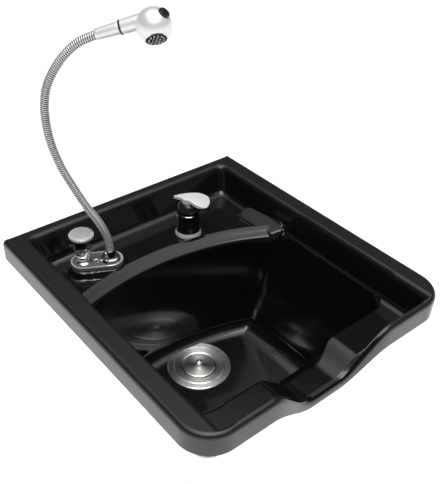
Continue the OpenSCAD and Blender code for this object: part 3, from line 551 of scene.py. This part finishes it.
def shared(values, reach):
    """Each row averaged with its neighbours round the loop."""
    weights = np.exp(-0.5 * (np.arange(-2 * reach, 2 * reach + 1) / reach) ** 2)
    total = sum(w * np.roll(values, k - 2 * reach, axis=0) for k, w in enumerate(weights))
    return total / weights.sum()


def inner_rows(ends):
    """Points of the upper surface on a line from the drain to each end, closer where it bends."""
    away = ends - DRAIN
    away /= np.linalg.norm(away, axis=1)[:, None]
    starts = DRAIN + DRAIN_HOLE * away
    t = np.linspace(0, 1, DENSE_POINTS)
    dense = starts[:, None, :] + (ends - starts)[:, None, :] * t[None, :, None]
    z = height(dense[..., 0], dense[..., 1])
    flat = np.linalg.norm(np.diff(dense, axis=1), axis=2)
    rise = np.diff(z, axis=1)
    bend = np.abs(np.diff(np.arctan2(rise, flat), axis=1, prepend=0))
    bend[:, 0] = 0
    far = np.cumsum(np.hypot(flat, rise) + BEND_WEIGHT * bend, axis=1)
    far = np.column_stack([np.zeros(len(far)), far / far[:, -1:]])
    far = shared(far, 3)
    u = np.array([np.interp(np.linspace(0, 1, ROW_POINTS), row, t) for row in far])
    at = starts[:, None, :] + (ends - starts)[:, None, :] * u[..., None]
    return np.concatenate([at, height(at[..., 0], at[..., 1])[..., None]], axis=2)


def edge_rows(rim, ends, top, foot):
    """Points and directions over the rolled outer edge and down the skirt."""
    nx, ny, r = rim[:, 2], rim[:, 3], rim[:, 4]
    outer, outer_ways = [], []
    for a in np.radians(EDGE_ANGLES):
        outer.append(np.stack([ends[:, 0] + nx * r * math.sin(a),
                               ends[:, 1] + ny * r * math.sin(a),
                               top - r + r * math.cos(a)], axis=1))
        outer_ways.append(np.stack([nx * math.sin(a), ny * math.sin(a),
                                    np.full_like(nx, math.cos(a))], axis=1))
    for k in (0.5, 1.0):
        outer.append(np.stack([rim[:, 0], rim[:, 1], (top - r) * (1 - k) + foot * k], axis=1))
        outer_ways.append(np.stack([nx, ny, np.zeros_like(nx)], axis=1))
    return np.stack(outer, axis=1), np.stack(outer_ways, axis=1)


def bowl_grid():
    """Rows of surface points and directions, one row for each outline point, from the drain out."""
    rim = outline()
    ends = rim[:, :2] - rim[:, 2:4] * rim[:, 4:5]
    points = inner_rows(ends)
    ways = slopes(points[..., 0], points[..., 1], points[..., 2])
    faces_front = rim[:, 3] < -0.99
    share = np.where(faces_front, dip(rim[:, 0]), 0)
    top, foot = -NECK_DROP * share, -SKIRT_H - NECK_SKIRT * share
    points[:, -1, 2] = top
    outer, outer_ways = edge_rows(rim, ends, top, foot)
    points = np.concatenate([points, outer], axis=1)
    ways = np.concatenate([ways, outer_ways], axis=1)
    in_neck = share > 0
    along = np.roll(points, -1, axis=0) - np.roll(points, 1, axis=0)
    across = np.gradient(points, axis=1)
    true = np.cross(along, across)
    true /= np.linalg.norm(true, axis=2, keepdims=True) + 1e-12
    edge = slice(ROW_POINTS, None)
    ways[in_neck, edge] = -true[in_neck, edge]
    return points, ways


def make_bowl():
    """The bowl as one closed shell: the fine outer grid and a coarser one WALL_T inside it."""
    points, ways = bowl_grid()
    rows, cols = points.shape[:2]
    kept = [0, *range(INNER_STEP // 2, ROW_POINTS - 1, INNER_STEP), ROW_POINTS,
            ROW_POINTS + 3, cols - 2, cols - 1]
    inner = (points - WALL_T * ways)[:, kept[::-1]]
    inner[:, -1] = points[:, 0] - (0, 0, WALL_T)
    inner[:, 0, 2] = points[:, -1, 2]
    both_sides = np.concatenate([points, inner], axis=1)
    both_ways = np.concatenate([ways, -ways[:, kept[::-1]]], axis=1)
    both_sides[..., 2] += RIM_Z
    faces = grid_faces(rows, cols + len(kept), closed_rows=True, closed_cols=True)
    bowl = new_piece("bowl_moulding", both_sides.reshape(-1, 3), faces, finish["black_abs"])
    bowl.data.normals_split_custom_set_from_vertices(both_ways.reshape(-1, 3).tolist())
    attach(bowl, "base")
    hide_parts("bowl")


make_bowl()


# ---------------------------------------------------------------- stage and light
FLOOR_Z = -850.0
FLOOR_HALF = 45000.0
FLOOR_STEPS = 8
OVERHEAD_AT, OVERHEAD_TOWARDS = (-0.4, -0.9, 2.4), (0, -0.25, 0)  # in metres
OVERHEAD_SIZE, OVERHEAD_POWER = 2.0, 40  # in metres and watts
# Brightness of the studio round the object, from straight down (0) to straight up (1).
STUDIO_BANDS = ((0.0, 0.7), (0.47, 0.7), (0.52, 0.22), (0.60, 0.10), (0.67, 0.03), (0.86, 0.05),
                (0.94, 1.1), (1.0, 1.6))


def stage_material():
    n = Nodes("stage_floor")
    n.link(n.mixed(n.between(n.noise(0.7), 0, 1), (0.90, 0.90, 0.90), (0.92, 0.92, 0.92)),
           n.shader.inputs["Base Color"])
    n.set(Roughness=0.9, Emission_Color=(1, 1, 1, 1), Emission_Strength=0.6)
    return n.material


def make_stage():
    line = np.linspace(-FLOOR_HALF, FLOOR_HALF, FLOOR_STEPS)
    points = [(x, y, FLOOR_Z) for y in line for x in line]
    faces = grid_faces(FLOOR_STEPS, FLOOR_STEPS)
    floor = new_piece("stage_floor", points, faces, stage_material())


def area_light(name, at, towards, size, power):
    data = bpy.data.lights.new(name, "AREA")
    data.shape = "SQUARE"
    data.size = size
    data.energy = power
    lamp = bpy.data.objects.new(name, data)
    scene.collection.objects.link(lamp)
    lamp.location = at
    lamp.rotation_euler = (Vector(towards) - Vector(at)).to_track_quat("-Z", "Y").to_euler()


def make_world():
    """A studio of soft bands, dark from the horizon to high up, so that polished faces read black."""
    world = bpy.data.worlds.new("studio")
    world.use_nodes = True
    tree = world.node_tree
    tree.nodes.clear()
    out = tree.nodes.new("ShaderNodeOutputWorld")
    back = tree.nodes.new("ShaderNodeBackground")
    ramp = tree.nodes.new("ShaderNodeValToRGB")
    split = tree.nodes.new("ShaderNodeSeparateXYZ")
    coord = tree.nodes.new("ShaderNodeTexCoord")
    raise_up = tree.nodes.new("ShaderNodeMapRange")
    raise_up.inputs["From Min"].default_value = -1
    tree.links.new(coord.outputs["Generated"], split.inputs[0])
    tree.links.new(split.outputs["Z"], raise_up.inputs["Value"])
    tree.links.new(raise_up.outputs["Result"], ramp.inputs["Fac"])
    tree.links.new(ramp.outputs["Color"], back.inputs["Color"])
    tree.links.new(back.outputs[0], out.inputs["Surface"])
    while len(ramp.color_ramp.elements) < len(STUDIO_BANDS):
        ramp.color_ramp.elements.new(0.5)
    for element, (place, value) in zip(ramp.color_ramp.elements, STUDIO_BANDS):
        element.position = place
        element.color = (value, value, value, 1)
    scene.world = world


make_stage()
make_world()
area_light("overhead", OVERHEAD_AT, OVERHEAD_TOWARDS, OVERHEAD_SIZE, OVERHEAD_POWER)
scene.view_settings.view_transform = "Standard"
